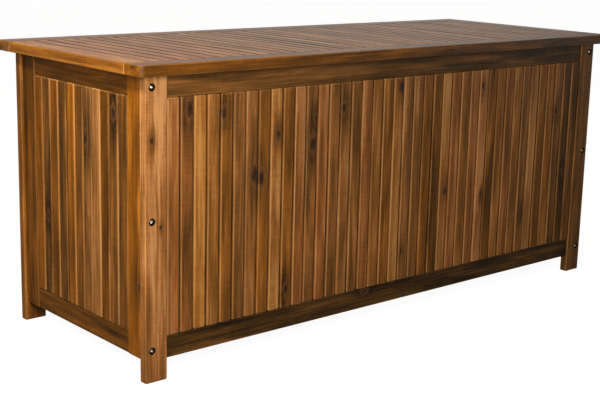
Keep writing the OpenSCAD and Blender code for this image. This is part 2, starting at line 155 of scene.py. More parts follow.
def islands(node):
    """The boxes (low, high) of the separate solids of a CAD node, in order along X, then Y, then Z."""
    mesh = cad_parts[node].data
    keys = [tuple(round(c, 6) for c in v.co) for v in mesh.vertices]
    parent = {k: k for k in keys}

    def root(k):
        while parent[k] != k:
            parent[k] = parent[parent[k]]
            k = parent[k]
        return k

    for edge in mesh.edges:
        parent[root(keys[edge.vertices[0]])] = root(keys[edge.vertices[1]])
    groups = {}
    for k in parent:
        groups.setdefault(root(k), []).append(k)
    boxes = []
    for group in groups.values():
        coordinates = list(zip(*group))
        boxes.append((Vector([min(c) for c in coordinates]), Vector([max(c) for c in coordinates])))
    return sorted(boxes, key=lambda b: tuple(round(c, 3) for c in (b[0] + b[1]) / 2))


# ------------------------------------------------------------------ boards
NO_KNOT = (9.0, 9.0, 0.001)    # a knot far off every board
PITH_SPREAD = 0.05             # how far to either side a board's pith may lie, twice over
PITH_DEPTH = (0.015, 0.07)     # how deep below the middle of the board it may lie
PITH_SLOPE = 0.05              # how steeply it may run through the board
EDGE_SHARE = 0.7               # share of an eased edge's width over which it turns from a face to an edge


def look(tone, red=0.2, knots=(), fade=0.0):
    """How a board looks: tone from 0, pale, to 1, dark; red from -1, golden, to 1, reddish; up to two
    knots, each (along, across, radius) in millimetres from the board's middle; and how much darker the
    board gets in a metre of its length."""
    marks = [tuple(c * MM for c in k) for k in knots] + [NO_KNOT, NO_KNOT]
    return {"tone": tone, "red": red, "knots": marks[:2], "fade": fade}


class Boards:
    """One visible piece made of boards. Each point carries its place in its own board (along, across and
    through the grain), the board's own numbers, its pith, its knots, and an edge value: 1 on an eased
    edge, drawn paler as wear and painted highlight, 0 on a face, and below 0 where shade is painted in
    gaps and recesses."""

    def __init__(self):
        self.verts, self.faces = [], []
        self.grain, self.board, self.pith, self.knots, self.edge = [], [], [], ([], []), []

    def add(self, shape, low, high, grain_axis, ease, board_look, rng):
        verts, faces = shape
        first = len(self.verts)
        self.verts += verts
        self.faces += [tuple(first + i for i in f) for f in faces]
        middle, size = (low + high) / 2, high - low
        u, v = OTHER_AXES[grain_axis]
        across_axis, depth_axis = (u, v) if size[u] >= size[v] else (v, u)
        seed = rng.random()
        pith = ((rng.random() - 0.5) * PITH_SPREAD, rng.uniform(*PITH_DEPTH),
                rng.uniform(-PITH_SLOPE, PITH_SLOPE))
        for point in verts:
            local = Vector(point) - middle
            self.grain.append((local[grain_axis], local[across_axis], local[depth_axis]))
            tone = board_look["tone"] + board_look["fade"] * local[grain_axis]
            self.board.append((seed, tone, board_look["red"]))
            depths = sorted(min(point[i] - low[i], high[i] - point[i]) for i in range(3))
            self.edge.append(max(0.0, min(1.0, (1 - depths[1] / ease) / EDGE_SHARE)))
        self.pith += [pith] * len(verts)
        for marks, knot in zip(self.knots, board_look["knots"]):
            marks += [knot] * len(verts)

    def plank(self, low, high, grain_axis, ease, board_look, rng):
        """A plain board, all its edges eased."""
        shape = loft(rectangle(low, high, grain_axis), [ease] * 4, low[grain_axis], high[grain_axis],
                     grain_axis, ease)
        self.add(shape, low, high, grain_axis, ease, board_look, rng)

    def finish(self, name, body, material, replaced):
        mesh = bpy.data.meshes.new(name)
        mesh.from_pydata(self.verts, [], self.faces)
        vectors = {"grain": self.grain, "board": self.board, "pith": self.pith,
                   "knot_a": self.knots[0], "knot_b": self.knots[1]}
        for key, values in vectors.items():
            attribute = mesh.attributes.new(key, "FLOAT_VECTOR", "POINT")
            attribute.data.foreach_set("vector", [c for value in values for c in value])
        mesh.attributes.new("edge", "FLOAT", "POINT").data.foreach_set("value", self.edge)
        return place(mesh, name, body, material, replaced)


def place(mesh, name, body, material, replaced):
    """Makes a piece of a mesh, smooth over its eased edges and flat on its faces."""
    mesh.polygons.foreach_set("use_smooth", [True] * len(mesh.polygons))
    mesh.materials.append(material)
    piece = bpy.data.objects.new(name, mesh)
    bpy.context.scene.collection.objects.link(piece)
    weighted = piece.modifiers.new("flat_faces", "WEIGHTED_NORMAL")
    weighted.weight = 100
    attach(piece, body)
    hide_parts(*replaced)
    return piece


def solid(shapes, name, body, material, replaced, worn=None):
    """Joins (verts, faces) shapes into one piece. The wear function, if given, is a function of a point,
    and marks wear that also carries a painted highlight.
    """
    verts, faces = [], []
    for shape_verts, shape_faces in shapes:
        first = len(verts)
        verts += shape_verts
        faces += [tuple(first + i for i in f) for f in shape_faces]
    mesh = bpy.data.meshes.new(name)
    mesh.from_pydata(verts, [], faces)
    if worn:
        mesh.attributes.new("worn", "FLOAT", "POINT").data.foreach_set("value", [worn(v) for v in verts])
    return place(mesh, name, body, material, replaced)


def drilled(shape, cutters):
    """A shape with turned cutters taken out of it."""
    made = []
    for verts, faces in [shape, *cutters]:
        mesh = bpy.data.meshes.new("drilled")
        mesh.from_pydata(verts, [], faces)
        made.append(bpy.data.objects.new("drilled", mesh))
        bpy.context.scene.collection.objects.link(made[-1])
    for cutter in made[1:]:
        cut = made[0].modifiers.new("cut", "BOOLEAN")
        cut.operation, cut.solver, cut.object = "DIFFERENCE", "EXACT", cutter
    bpy.context.view_layer.update()
    result = made[0].evaluated_get(bpy.context.evaluated_depsgraph_get()).to_mesh()
    verts = [tuple(v.co) for v in result.vertices]
    faces = [tuple(p.vertices) for p in result.polygons]
    for scratch in made:
        bpy.data.objects.remove(scratch)
    return verts, faces


# ------------------------------------------------------------------ materials
class Nodes:
    """A material's node tree, written as expressions."""

    def __init__(self, name):
        self.material = bpy.data.materials.new(name)
        self.material.use_nodes = True
        self.tree = self.material.node_tree
        self.tree.nodes.clear()

    def new(self, kind, inputs=(), **settings):
        node = self.tree.nodes.new(kind)
        for key, value in settings.items():
            setattr(node, key, value)
        for key, value in dict(inputs).items():
            if isinstance(value, bpy.types.NodeSocket):
                self.tree.links.new(value, node.inputs[key])
            else:
                node.inputs[key].default_value = value
        return node

    def math(self, operation, a, b=0.0, c=0.0):
        return self.new("ShaderNodeMath", {0: a, 1: b, 2: c}, operation=operation).outputs[0]

    def vector(self, x, y, z):
        return self.new("ShaderNodeCombineXYZ", {0: x, 1: y, 2: z}).outputs[0]

    def attribute(self, name):
        vector = self.new("ShaderNodeAttribute", attribute_name=name).outputs["Vector"]
        return self.new("ShaderNodeSeparateXYZ", {0: vector}).outputs

    def number(self, name):
        return self.new("ShaderNodeAttribute", attribute_name=name).outputs["Fac"]

    def noise(self, vector, detail=2.0, roughness=0.5):
        inputs = {"Vector": vector, "Scale": 1.0, "Detail": detail, "Roughness": roughness}
        return self.new("ShaderNodeTexNoise", inputs).outputs["Fac"]

    def remap(self, value, low, high, to_low=0.0, to_high=1.0):
        inputs = {"Value": value, "From Min": low, "From Max": high, "To Min": to_low, "To Max": to_high}
        return self.new("ShaderNodeMapRange", inputs, interpolation_type="SMOOTHSTEP").outputs[0]

    def ramp(self, value, stops):
        node = self.new("ShaderNodeValToRGB", {0: value})
        elements = node.color_ramp.elements
        while len(elements) < len(stops):
            elements.new(0.5)
        for element, (position, colour) in zip(elements, stops):
            element.position, element.color = position, (*colour, 1.0)
        return node.outputs[0]

    def mix(self, factor, a, b, blend="MIX"):
        node = self.new("ShaderNodeMix", data_type="RGBA", blend_type=blend)
        for key, value in ((0, factor), (6, a), (7, b)):
            if isinstance(value, bpy.types.NodeSocket):
                self.tree.links.new(value, node.inputs[key])
            else:
                node.inputs[key].default_value = value if key == 0 else (*value, 1.0)
        return node.outputs[2]

    def surface(self, inputs, height=None, bump=0.0, distance=0.0):
        """Ends the tree with a Principled shader."""
        if height is not None:
            relief = {"Height": height, "Strength": bump, "Distance": distance}
            inputs = {**inputs, "Normal": self.new("ShaderNodeBump", relief).outputs[0]}
        shader = self.new("ShaderNodeBsdfPrincipled", inputs)
        output = self.new("ShaderNodeOutputMaterial")
        self.tree.links.new(shader.outputs[0], output.inputs[0])
        return self.material


# Oiled hardwood, from its palest sapwood to its darkest heartwood
SHADES = [(0.0, (0.45, 0.225, 0.080)), (0.28, (0.255, 0.100, 0.024)), (0.5, (0.143, 0.0585, 0.0122)),
          (0.75, (0.061, 0.0275, 0.0058)), (1.0, (0.016, 0.008, 0.0030))]
BARE_SHADES = [(0.0, (0.50, 0.31, 0.15)), (0.5, (0.31, 0.165, 0.065)), (1.0, (0.14, 0.065, 0.022))]
KNOT_SHADES = [(0.0, (0.014, 0.008, 0.005)), (0.45, (0.036, 0.017, 0.008)), (0.75, (0.105, 0.040, 0.013)),
               (1.0, (0.20, 0.082, 0.026))]
RED_TINT = (1.0, 0.74, 0.72)
GOLDEN_TINT = (1.0, 0.80, 0.20)
PORE_COLOUR = (0.05, 0.022, 0.010)
# Painted shade: the near-black drawn deep between slats, along the lid slats' rims and in the
# counterbores
PAINTED_SHADE_COLOUR = (0.010, 0.006, 0.003)
SEED_SPREAD = 97.0             # how far apart in the noise two boards may lie
KNOT_REACH = (5.0, 1.8)        # how far a knot moves the fibres, along and across, in its radii
KNOT_PARTING = 0.6             # how much it moves them
KNOT_LENGTH = 1.7              # how much longer than wide it is
KNOT_DARKENING = 0.75
PORE_STRENGTH = 0.45
EDGE_WEAR_AND_HIGHLIGHT = 0.50              # how much paler than its board an eased edge is drawn: partly wear, partly a painted highlight
# How much each noise, which is about 0.5 on the mean, moves a board's tone
RINGS, CLOUDS, STREAKS, FIBRES, SAW_MARKS = 0.55, 1.15, 0.50, 0.42, 0.20


def wood(name, shades, roughness, specular):
    """Hardwood whose rings, fibres, pores and knots run through the board, so that the end grain
    shows the same rings as the faces."""
    n = Nodes(name)
    along, across, depth = n.attribute("grain")
    seed, tone, red = n.attribute("board")
    pith_across, pith_depth, taper = n.attribute("pith")
    edge = n.number("edge")
    seed = n.math("MULTIPLY", seed, SEED_SPREAD)

    # The fibres part round each knot
    knot_gaps, knot_reaches = [], []
    for name_of_knot in ("knot_a", "knot_b"):
        knot_along, knot_across, radius = n.attribute(name_of_knot)
        step = n.math("SUBTRACT", along, knot_along)
        side = n.math("SUBTRACT", across, knot_across)
        far = n.math("DIVIDE", step, n.math("MULTIPLY", radius, KNOT_REACH[0]))
        wide = n.math("DIVIDE", side, n.math("MULTIPLY", radius, KNOT_REACH[1]))
        reach = n.math("ADD", n.math("MULTIPLY", far, far), n.math("MULTIPLY", wide, wide))
        near = n.math("EXPONENT", n.math("MULTIPLY", reach, -1.0))
        parted = n.math("MULTIPLY", n.math("MULTIPLY", side, near), KNOT_PARTING)
        across = n.math("SUBTRACT", across, parted)
        flat_step = n.math("DIVIDE", step, KNOT_LENGTH)
        gap = n.math("SQRT", n.math("ADD", n.math("MULTIPLY", flat_step, flat_step),
                                    n.math("MULTIPLY", side, side)))
        ragged = n.noise(n.vector(n.math("MULTIPLY", step, 110.0), n.math("MULTIPLY", side, 330.0), seed),
                         3.0, 0.7)
        in_radii = n.math("DIVIDE", gap, radius)
        knot_gaps.append(n.math("MULTIPLY", in_radii, n.math("MULTIPLY_ADD", ragged, 3.0, -0.5)))
        knot_reaches.append(near)

    # Growth rings about a pith that runs below the face and slightly across it
    wobble = n.noise(n.vector(n.math("MULTIPLY", along, 4.0), n.math("MULTIPLY", across, 22.0), seed))
    across = n.math("ADD", across, n.math("MULTIPLY", n.math("SUBTRACT", wobble, 0.5), 0.010))
    ring_across = n.math("SUBTRACT", across, pith_across)
    ring_depth = n.math("ADD", n.math("ADD", depth, pith_depth), n.math("MULTIPLY", along, taper))
    ring = n.math("SQRT", n.math("ADD", n.math("MULTIPLY", ring_across, ring_across),
                                 n.math("MULTIPLY", ring_depth, ring_depth)))
    rings = n.noise(n.vector(n.math("MULTIPLY", ring, 330.0), n.math("MULTIPLY", along, 1.5), seed),
                    3.0, 0.6)

    def along_the_grain(per_metre_along, per_metre_across, detail):
        """Noise drawn out along the fibres."""
        through = n.math("MULTIPLY_ADD", depth, per_metre_across, seed)
        return n.noise(n.vector(n.math("MULTIPLY", along, per_metre_along),
                                n.math("MULTIPLY", across, per_metre_across), through), detail)

    clouds = along_the_grain(6.0, 60.0, 4.0)
    streaks = along_the_grain(2.6, 260.0, 3.0)
    fibres = along_the_grain(16.0, 850.0, 2.0)
    saw_marks = along_the_grain(420.0, 14.0, 1.0)
    open_pores = n.remap(along_the_grain(70.0, 2400.0, 0.0), 0.64, 0.76)

    shade = tone
    for part, amount in ((rings, RINGS), (clouds, CLOUDS), (streaks, STREAKS), (fibres, FIBRES),
                         (saw_marks, SAW_MARKS)):
        shade = n.math("MULTIPLY_ADD", n.math("SUBTRACT", part, 0.5), amount, shade)
    for near in knot_reaches:
        shade = n.math("MULTIPLY_ADD", near, n.math("MULTIPLY", streaks, KNOT_DARKENING), shade)
    colour = n.ramp(shade, shades)
    colour = n.mix(red, colour, RED_TINT, "MULTIPLY")
    colour = n.mix(n.math("MULTIPLY", red, -1.0), colour, GOLDEN_TINT, "MULTIPLY")
    for gap in knot_gaps:
        colour = n.mix(n.remap(gap, 1.5, 0.55, 0.0, 0.9), colour, n.ramp(gap, KNOT_SHADES))
    colour = n.mix(n.math("MULTIPLY", open_pores, PORE_STRENGTH), colour, PORE_COLOUR)
    # Eased edges drawn paler: partly wear, partly a painted highlight where the rounded edges catch the
    # light
    worn = n.math("MULTIPLY", edge, n.remap(streaks, 0.35, 0.62, 0.45, 1.0))
    worn = n.math("MULTIPLY", worn, n.remap(n.math("FRACT", seed), 0.0, 1.0, 0.35, 1.0))
    colour = n.mix(worn, colour, n.ramp(n.math("SUBTRACT", shade, EDGE_WEAR_AND_HIGHLIGHT), shades))
    # Painted shade where the edge value is below 0: deep between slats, along the lid slats' rims and in
    # the counterbores
    painted_shade = n.math("MULTIPLY", edge, -1.0)
    colour = n.mix(painted_shade, colour, PAINTED_SHADE_COLOUR)

    sheen = n.math("MULTIPLY_ADD", fibres, 0.22, roughness - 0.11)
    raised = n.math("MULTIPLY_ADD", saw_marks, 0.5, n.math("MULTIPLY", fibres, 0.7))
    height = n.math("SUBTRACT", raised, open_pores)
    return n.surface({"Base Color": colour, "Roughness": sheen, "Specular IOR Level": specular},
                     height, bump=0.35, distance=0.0006)


def metal(name, bright, dull, roughness, polished_and_highlight=(0.8, 0.8, 0.8)):
    """Plated metal with a faint mottle, its plating rubbed off where a point's wear value is 1; that pale
    patch is also a painted highlight.
    """
    n = Nodes(name)
    place_on_it = n.new("ShaderNodeTexCoord").outputs["Object"]
    cloudy = {"Vector": place_on_it, "Scale": 260.0, "Detail": 3.0}
    mottle = n.new("ShaderNodeTexNoise", cloudy).outputs["Fac"]
    colour = n.mix(n.remap(mottle, 0.35, 0.7), bright, dull)
    # Painted highlight: the pale polished colour in the middle of a bolt's head stands in for the glint
    # on its dome, as well as wear
    colour = n.mix(n.number("worn"), colour, polished_and_highlight)
    gloss = n.math("MULTIPLY_ADD", mottle, 0.25, roughness - 0.1)
    return n.surface({"Base Color": colour, "Metallic": 1.0, "Roughness": gloss},
                     mottle, bump=0.15, distance=0.0002)


OILED = wood("oiled_hardwood", SHADES, 0.42, 0.12)
VARNISHED = wood("varnished_hardwood", SHADES, 0.40, 0.21)
BARE = wood("bare_hardwood", BARE_SHADES, 0.62, 0.3)
ZINC = metal("bright_zinc", (0.80, 0.79, 0.77), (0.55, 0.54, 0.53), 0.24)
BRONZE = metal("antique_bronze", (0.26, 0.20, 0.14), (0.12, 0.09, 0.07), 0.38)
BOLT_METAL = metal("blackened_steel", (0.085, 0.070, 0.050), (0.045, 0.036, 0.026), 0.30,
                   polished_and_highlight=(0.70, 0.66, 0.56))
BRASS = metal("brass", (0.78, 0.57, 0.26), (0.55, 0.37, 0.15), 0.28)

# ------------------------------------------------------------------ the walls' slats
SLAT_EASE = 2.8 * MM
SLAT_PLAY = 0.5 * MM           # how much one slat is thinner or narrower than the next
ON_SIDE = 0.01 * MM            # a point nearer than this to a slat's side is on it
GAP_SHADE = -0.85              # how dark the painted shade is deep between two slats, where shadow falls
TONES = {"a": 0.20, "b": 0.32, "c": 0.43, "d": 0.55, "e": 0.64}
# One letter a slat, from the left of the wall as it is seen from outside, palest a to darkest e, and
# knots by slat: (along, across, radius) in millimetres from the slat's middle
FRONT_TONES = "bdabccbbacbcbcbcbbcabbcdabbbadbbbcacbcdd"
LEFT_TONES = "cedebdcbedd"
FRONT_KNOTS = {
    1: [(188, 6, 11)], 4: [(175, -8, 8)], 6: [(56, 7, 13)], 7: [(48, -8, 12)], 8: [(125, 3, 6)],
    9: [(-173, 0, 8)], 11: [(100, 3, 11), (150, 9, 6)], 14: [(161, -6, 8)], 19: [(190, 7, 11)],
    20: [(-150, -6, 5)], 24: [(-39, 5, 7)], 28: [(176, -6, 6), (-60, 5, 4)], 33: [(-120, 4, 5)],
    37: [(102, -7, 7)], 38: [(-43, 7, 6)]}
LEFT_KNOTS = {1: [(-55, 0, 6)], 6: [(115, 6, 10)], 9: [(175, 0, 8)]}


def random_tones(count, seed):
    rng = random.Random(seed)
    return "".join(rng.choice("abbbccccdde") for _ in range(count))


def random_knots(count, seed):
    """A knot in about one slat out of four."""
    rng = random.Random(seed)
    return {i: [(rng.uniform(-190, 190), rng.uniform(-8, 8), rng.uniform(3, 7))]
            for i in range(count) if rng.random() < 0.25}


def shade_gaps(piece, first, low, high, wide, thin, outer, ease, rim):
    """Paints shade on the sides of the board whose points start at first, deep between it and the next
    one, where shadow falls. rim is how dark the painted shade is on the eased edges at the outer face, or
    None to leave them."""
    for k, point in enumerate(piece.verts[first:], first):
        off_side = min(point[wide] - low[wide], high[wide] - point[wide])
        depth = abs(point[thin] - outer)
        if off_side < ON_SIDE and depth > ease * 1.2:
            piece.edge[k] = GAP_SHADE
        elif rim is not None and off_side < ease * 0.6 and depth < ease * 1.2:
            piece.edge[k] = rim


def slats(node, tones, knots, seed, order=1, redness=0.0):
    """A wall's row of upright slats, each where its CAD solid is, with a look of its own. order is -1
    where their order from the left is against +X or +Y."""
    rng = random.Random(seed)
    piece = Boards()
    boxes = islands(node)[::order]
    for i, (low, high) in enumerate(boxes):
        size = high - low
        thin = min(range(3), key=lambda k: size[k])
        wide = X + Y - thin
        low, high = low.copy(), high.copy()
        outer = high if abs(high[thin]) > abs(low[thin]) else low
        outer[thin] -= math.copysign(rng.uniform(0, SLAT_PLAY), outer[thin])
        low[wide] += rng.uniform(0, SLAT_PLAY)
        high[wide] -= rng.uniform(0, SLAT_PLAY)
        tone = TONES[tones[i % len(tones)]] + rng.uniform(-0.04, 0.04)
        first = len(piece.verts)
        red = rng.choice((-0.55, -0.3, -0.1, 0.15, 0.5)) + redness
        piece.plank(low, high, Z, SLAT_EASE, look(tone, red, knots.get(i, ())), rng)
        shade_gaps(piece, first, low, high, wide, thin, outer[thin], SLAT_EASE, None)
    piece.finish(node + "_boards", "box", OILED, [node])


slats("front_slats", FRONT_TONES, FRONT_KNOTS, 11)
slats("left_slats", LEFT_TONES, LEFT_KNOTS, 12, order=-1, redness=-0.45)
slats("right_slats", random_tones(11, 5), random_knots(11, 5), 13, redness=-0.2)
slats("rear_slats", random_tones(40, 6), random_knots(40, 6), 14)

# ------------------------------------------------------------------ rails
RAIL_EASE = 1.6 * MM
REBATE_H = 20 * MM             # height of the rebate that takes the slat ends
REBATE_D = 8 * MM              # depth of that rebate
TENON_LEN = 20 * MM            # how far a rail's tenons run into its neighbours


def rail(node, axis, board_look, seed):
    """A wall rail between its two uprights: an L in section, with its rebate to the outside and
    towards the slats."""
    rng = random.Random(seed)
    low, high = (v.copy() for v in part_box(node))
    low[axis] += TENON_LEN
    high[axis] -= TENON_LEN
    across = X + Y - axis
    outward = 1 if low[across] > 0 else -1
    upper = low[Z] > (cad_low[Z] + cad_high[Z]) / 2
    outer, inner = (high, low) if outward > 0 else (low, high)
    step_across = outer[across] - outward * REBATE_D
    step_z = low[Z] + REBATE_H if upper else high[Z] - REBATE_H
    edge_z = high[Z] if upper else low[Z]
    tongue_z = low[Z] if upper else high[Z]
    corners = [(outer[across], edge_z), (outer[across], step_z), (step_across, step_z),
               (step_across, tongue_z), (inner[across], tongue_z), (inner[across], edge_z)]
    if OTHER_AXES[axis][0] != across:
        corners = [(b, a) for a, b in corners]
    area = sum(a[0] * b[1] - b[0] * a[1] for a, b in zip(corners, corners[1:] + corners[:1]))
    if area < 0:
        corners.reverse()
    piece = Boards()
    piece.add(loft(corners, [RAIL_EASE] * 6, low[axis], high[axis], axis, RAIL_EASE),
              low, high, axis, RAIL_EASE, board_look, rng)
    piece.finish(node + "_board", "box", OILED, [node])


# Painted shade: the front top rail darkens towards the right (fade), standing in for the lid's shadow and
# the key light's fall-off
rail("front_top_rail", X, look(0.60, 0.0, fade=0.18), 21)
rail("front_bottom_rail", X, look(0.80, 0.0, [(-90, 4, 6)]), 22)
rail("rear_top_rail", X, look(0.55, 0.2), 23)
rail("rear_bottom_rail", X, look(0.60, 0.2), 24)
rail("left_top_rail", Y, look(0.52, -0.8), 25)
rail("left_bottom_rail", Y, look(0.60, -0.8), 26)
rail("right_top_rail", Y, look(0.50, 0.15), 27)
rail("right_bottom_rail", Y, look(0.52, 0.15), 28)

# ------------------------------------------------------------------ legs and stiles
LEG_EASE = 2.2 * MM
STILE_EASE = 2.2 * MM
COUNTERBORE_R = 6.5 * MM
COUNTERBORE_DEPTH = 5 * MM
COUNTERBORE_RIM = 0.5 * MM     # chamfer round the mouth of a counterbore
ON_WALL = 0.1 * MM             # a point nearer than this to a counterbore's wall is on it


def counterbore(centre, outward, face_y):
    """The cutter for a bolt's counterbore, its rim chamfered."""
    mouth = Vector((centre.x, face_y, centre.z))
    profile = [(0, -COUNTERBORE_DEPTH), (COUNTERBORE_R, -COUNTERBORE_DEPTH),
               (COUNTERBORE_R, -COUNTERBORE_RIM), (COUNTERBORE_R + 2 * COUNTERBORE_RIM, COUNTERBORE_RIM),
               (0, COUNTERBORE_RIM)]
    return turned(profile, facing((0, outward, 0), mouth))


BOLTS = islands("frame_bolts")


def leg(node, board_look, seed):
    low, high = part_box(node)
    outward = 1 if low.y > 0 else -1
    face_y = high.y if outward > 0 else low.y
    centres = [(b[0] + b[1]) / 2 for b in BOLTS]
    own = [c for c in centres if low.x < c.x < high.x and c.y * outward > 0]
    board = loft(rectangle(low, high, Z), [LEG_EASE] * 4, low.z, high.z, Z, LEG_EASE)
    shape = drilled(board, [counterbore(c, outward, face_y) for c in own])
    piece = Boards()
    piece.add(shape, low, high, Z, LEG_EASE, board_look, random.Random(seed))
    for i, point in enumerate(piece.verts):
        off_axis = min(math.hypot(point[0] - c.x, point[2] - c.z) for c in own)
        if off_axis < COUNTERBORE_R + ON_WALL and abs(point[1] - face_y) > COUNTERBORE_RIM / 2:
            piece.edge[i] = -1.0           # painted shade in the counterbores, where shadow falls
    piece.finish(node + "_board", "box", OILED, [node])


leg("leg_front_left", look(0.19, 0.25, [(160, -9, 5), (8, 9, 3)], fade=-0.42), 31)
leg("leg_front_right", look(0.50, 0.1), 32)
leg("leg_rear_left", look(0.40, -0.6), 33)
leg("leg_rear_right", look(0.42, 0.1, [(60, 8, 6)]), 34)


def plain_board(node, body, grain_axis, ease, board_look, seed, material=OILED):
    piece = Boards()
    for low, high in islands(node):
        piece.plank(low, high, grain_axis, ease, board_look, random.Random(seed))
        seed += 1
    piece.finish(node + "_board", body, material, [node])


plain_board("left_front_stile", "box", Z, STILE_EASE, look(0.33, -1.0, [(-120, -16, 7)]), 41)
plain_board("left_rear_stile", "box", Z, STILE_EASE, look(0.55, -0.8), 42)
plain_board("right_front_stile", "box", Z, STILE_EASE, look(0.40, 0.1), 43)
plain_board("right_rear_stile", "box", Z, STILE_EASE, look(0.36, 0.1, [(90, 10, 5)]), 44)

# ------------------------------------------------------------------ battens and floor
for number, node in enumerate(["front_middle_batten", "rear_middle_batten"]):
    plain_board(node, "box", X, RAIL_EASE, look(0.45, 0.1), 51 + number, BARE)
for number, node in enumerate(["left_middle_batten", "right_middle_batten"]):
    plain_board(node, "box", Y, RAIL_EASE, look(0.45, 0.1), 53 + number, BARE)
for number, node in enumerate(["floor_bearer_front", "floor_bearer_middle", "floor_bearer_rear"]):
    plain_board(node, "box", X, RAIL_EASE, look(0.5, 0.1), 55 + number, BARE)
for number, node in enumerate(["lid_front_batten", "lid_rear_batten"]):
    plain_board(node, "lid", X, RAIL_EASE, look(0.4, 0.1), 58 + number, BARE)


def floor_boards():
    rng = random.Random(61)
    piece = Boards()
    for low, high in islands("floor_boards"):
        knots = []
        if rng.random() < 0.5:
            knots.append((rng.uniform(-180, 180), rng.uniform(-35, 35), rng.uniform(5, 10)))
        piece.plank(low, high, Y, RAIL_EASE, look(rng.uniform(0.2, 0.6), 0.1, knots), rng)
    piece.finish("floor_boards_board", "box", BARE, ["floor_boards"])


floor_boards()

# ------------------------------------------------------------------ lid
LID_EASE = 2.4 * MM
LID_CORNER_R = 8 * MM          # rounding of the lid's corners in plan
LID_SLAT_EASE = 2.0 * MM
LEDGE_EASE = 0.3 * MM
LID_RIM_SHADE = -0.5           # how dark the painted shade is along the lid slats' upper edges, over the gaps between them
LID_TONES = "abacbabbacbbabbcabbabcbabacbbabcbabbcbbb"
lid_open_low_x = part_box("lid_left_rail")[1].x
lid_open_high_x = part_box("lid_right_rail")[0].x
slat_end_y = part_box("lid_left_rail")[1].y


def lid_long_rail(node, board_look, seed):
    """A long lid rail: a plank with its outer corners rounded, over the ledge that carries the slats."""
    rng = random.Random(seed)
    low, high = (v.copy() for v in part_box(node))
    ledge_low, ledge_high = low.copy(), high.copy()
    front = low.y < 0
    if front:
        high.y = -slat_end_y
        ledge_low.y = high.y
        radii = [LID_CORNER_R, LID_CORNER_R, LID_EASE, LID_EASE]
    else:
        low.y = slat_end_y
        ledge_high.y = low.y
        radii = [LID_EASE, LID_EASE, LID_CORNER_R, LID_CORNER_R]
    ledge_low.x, ledge_high.x = lid_open_low_x, lid_open_high_x
    ledge_high.z = islands("lid_slats")[0][0].z
    piece = Boards()
    piece.add(loft(rectangle(low, high, Z), radii, low.z, high.z, Z, LID_EASE),
              low, high, X, LID_EASE, board_look, rng)
    piece.plank(ledge_low, ledge_high, X, LEDGE_EASE, board_look, rng)
    piece.finish(node + "_board", "lid", VARNISHED, [node])


lid_long_rail("lid_front_rail", look(0.60, -1.0, [(-255, 14, 6)], fade=0.12), 91)
lid_long_rail("lid_rear_rail", look(0.45, 0.1), 72)
plain_board("lid_left_rail", "lid", Y, LID_EASE, look(0.22, -0.85), 73, VARNISHED)
plain_board("lid_right_rail", "lid", Y, LID_EASE, look(0.42, 0.0), 74, VARNISHED)


def lid_slats():
    rng = random.Random(75)
    piece = Boards()
    knots = random_knots(40, 9)
    for i, (low, high) in enumerate(islands("lid_slats")):
        low, high = low.copy(), high.copy()
        high.z -= rng.uniform(0, SLAT_PLAY)
        low.x += rng.uniform(0, SLAT_PLAY)
        high.x -= rng.uniform(0, SLAT_PLAY)
        tone = TONES[LID_TONES[i]] + rng.uniform(-0.09, 0.09)
        first = len(piece.verts)
        red = rng.choice((-0.4, -0.1, 0.2, 0.6))
        piece.plank(low, high, Y, LID_SLAT_EASE, look(tone, red, knots.get(i, ())), rng)
        shade_gaps(piece, first, low, high, X, Z, high.z, LID_SLAT_EASE, LID_RIM_SHADE)
    piece.finish("lid_slats_boards", "lid", VARNISHED, ["lid_slats"])


lid_slats()

# ------------------------------------------------------------------ bolts, nuts, screws and dowels
BOLT_SHANK_R = 3 * MM
BOLT_HEAD_H = 3.4 * MM
BOLT_RIM_H = 1.0 * MM
SOCKET_FLAT = 2.0 * MM         # half the key size of a bolt's socket
SOCKET_DEPTH = 2.0 * MM
INSERT_RIDGES = 8


def hexagon(flat):
    """The radius of a hexagon at an angle, flat being half the distance across its flats."""
    def radius(angle):
        return flat / math.cos((angle + math.pi / 6) % (math.pi / 3) - math.pi / 6)
    return radius


def star(radius):
    """The radius of a six-lobed screw recess at an angle."""
    return lambda angle: radius * (1 + 0.16 * math.cos(6 * angle))


def bolt(low, high):
    """A domed bolt with a hexagonal socket, its head outwards."""
    outward = 1 if (low + high).y > 0 else -1
    top = high.y if outward > 0 else low.y
    head_r = (high.x - low.x) / 2
    seat = -BOLT_HEAD_H
    dome_h = BOLT_HEAD_H - BOLT_RIM_H
    dome = [(head_r * math.cos(t), seat + BOLT_RIM_H + dome_h * math.sin(t))
            for t in (math.radians(a) for a in range(0, 66, 8))]
    profile = [(0, -(high.y - low.y)), (BOLT_SHANK_R, -(high.y - low.y)), (BOLT_SHANK_R, seat),
               (head_r - 0.3 * MM, seat), (head_r, seat + 0.3 * MM), *dome,
               (hexagon(SOCKET_FLAT + 0.25 * MM), -0.15 * MM), (hexagon(SOCKET_FLAT), -0.45 * MM),
               (hexagon(SOCKET_FLAT), -SOCKET_DEPTH), (0, -SOCKET_DEPTH - 0.6 * MM)]
    centre = (low + high) / 2
    return turned(profile, facing((0, outward, 0), (centre.x, top, centre.z)))


def key_wear_and_highlight(point):
    """1 in a bolt's socket and just round it, 0 at the edge of its head: wear by the key, and a painted
    highlight on the middle of the dome.
    """
    off_axis = min(math.hypot(point[0] - c.x, point[2] - c.z) for c in ((a + b) / 2 for a, b in BOLTS))
    return 1.0 if off_axis < SOCKET_FLAT * 1.4 else 0.0


solid([bolt(low, high) for low, high in BOLTS], "frame_bolts_metal", "box", BOLT_METAL,
      ["frame_bolts"], key_wear_and_highlight)


